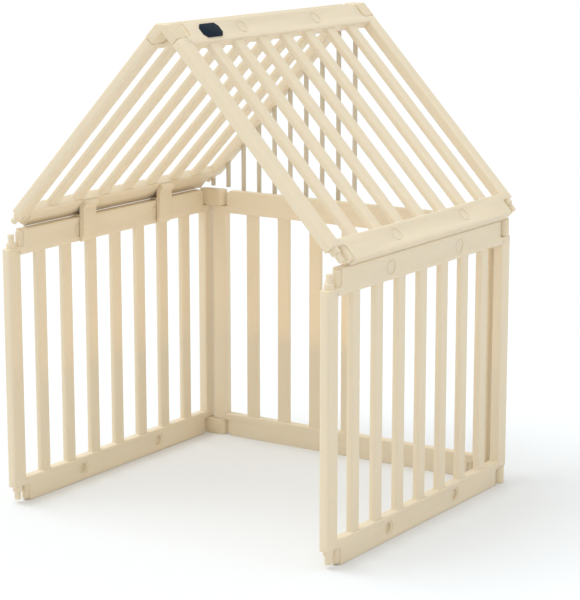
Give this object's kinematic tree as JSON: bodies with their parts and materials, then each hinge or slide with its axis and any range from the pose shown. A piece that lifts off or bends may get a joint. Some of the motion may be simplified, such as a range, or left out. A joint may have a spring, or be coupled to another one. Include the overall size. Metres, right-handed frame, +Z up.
{
  "type": "pet playpen",
  "caption": "House-shaped open-fronted pet playpen: barred wall panels hinged by corner links, under a lift-off pitched roof of barred panels.",
  "frame": {"origin": "middle of the footprint (roof overhang included), on the floor", "axes": "+Z up, +Y from the open front to the back wall, +X to the right seen from the front"},
  "size_m": [0.85, 0.775, 1.0527],
  "materials": {
    "cream_panel": "warm ivory moulded plastic with a satin sheen",
    "cream_fitting": "ivory moulded plastic, slightly deeper in tone",
    "cream_plug": "ivory moulded plastic",
    "grey_cream_rod": "greyer ivory plastic rod",
    "navy_badge": "dark navy plate with a pale edge line, no lettering"
  },
  "bodies": {
    "back_wall": {"back_wall_left_stile": "cream_panel", "back_wall_right_stile": "cream_panel", "back_wall_top_rail": "cream_panel", "back_wall_bottom_rail": "cream_panel", "back_wall_bars": "cream_panel", "back_wall_plugs": "cream_plug"},
    "left_link": {"left_link_top": "cream_fitting", "left_link_bottom": "cream_fitting"},
    "right_link": {"right_link_top": "cream_fitting", "right_link_bottom": "cream_fitting"},
    "left_wall": {"left_wall_front_stile": "cream_panel", "left_wall_back_stile": "cream_panel", "left_wall_top_rail": "cream_panel", "left_wall_bottom_rail": "cream_panel", "left_wall_bars": "cream_panel", "left_wall_plugs": "cream_plug"},
    "right_wall": {"right_wall_front_stile": "cream_panel", "right_wall_back_stile": "cream_panel", "right_wall_top_rail": "cream_panel", "right_wall_bottom_rail": "cream_panel", "right_wall_bars": "cream_panel", "right_wall_plugs": "cream_plug"},
    "roof": {"left_roof_front_stile": "cream_panel", "left_roof_back_stile": "cream_panel", "left_roof_ridge_rail": "cream_panel", "left_roof_eave_rail": "cream_panel", "left_roof_bars": "cream_panel", "left_roof_eave_plugs": "cream_plug", "left_roof_ridge_plugs": "cream_plug", "right_roof_front_stile": "cream_panel", "right_roof_back_stile": "cream_panel", "right_roof_ridge_rail": "cream_panel", "right_roof_eave_rail": "cream_panel", "right_roof_bars": "cream_panel", "right_roof_eave_plugs": "cream_plug", "right_roof_ridge_plugs": "cream_plug", "front_ridge_elbow": "cream_fitting", "back_ridge_elbow": "cream_fitting", "gable_rods": "grey_cream_rod", "left_front_bracket": "cream_fitting", "left_back_bracket": "cream_fitting", "right_front_bracket": "cream_fitting", "right_back_bracket": "cream_fitting", "badge": "navy_badge"}
  },
  "joints": [
    {"name": "left_link_turn", "type": "hinge", "parent": "back_wall", "child": "left_link", "pos_m": [-0.356, 0.3465, 0.3], "axis": [0, 0, 1], "range_deg": [-90, 0]},
    {"name": "left_wall_swing", "type": "hinge", "parent": "left_link", "child": "left_wall", "pos_m": [-0.399, 0.3435, 0.3], "axis": [0, 0, 1], "range_deg": [-90, 0]},
    {"name": "right_link_turn", "type": "hinge", "parent": "back_wall", "child": "right_link", "pos_m": [0.356, 0.3465, 0.3], "axis": [0, 0, 1], "range_deg": [0, 90]},
    {"name": "right_wall_swing", "type": "hinge", "parent": "right_link", "child": "right_wall", "pos_m": [0.399, 0.3435, 0.3], "axis": [0, 0, 1], "range_deg": [0, 90]},
    {"name": "roof_lift", "type": "slide", "parent": "back_wall", "child": "roof", "axis": [0, 0, 1], "range_m": [0, 0.3]}
  ]
}
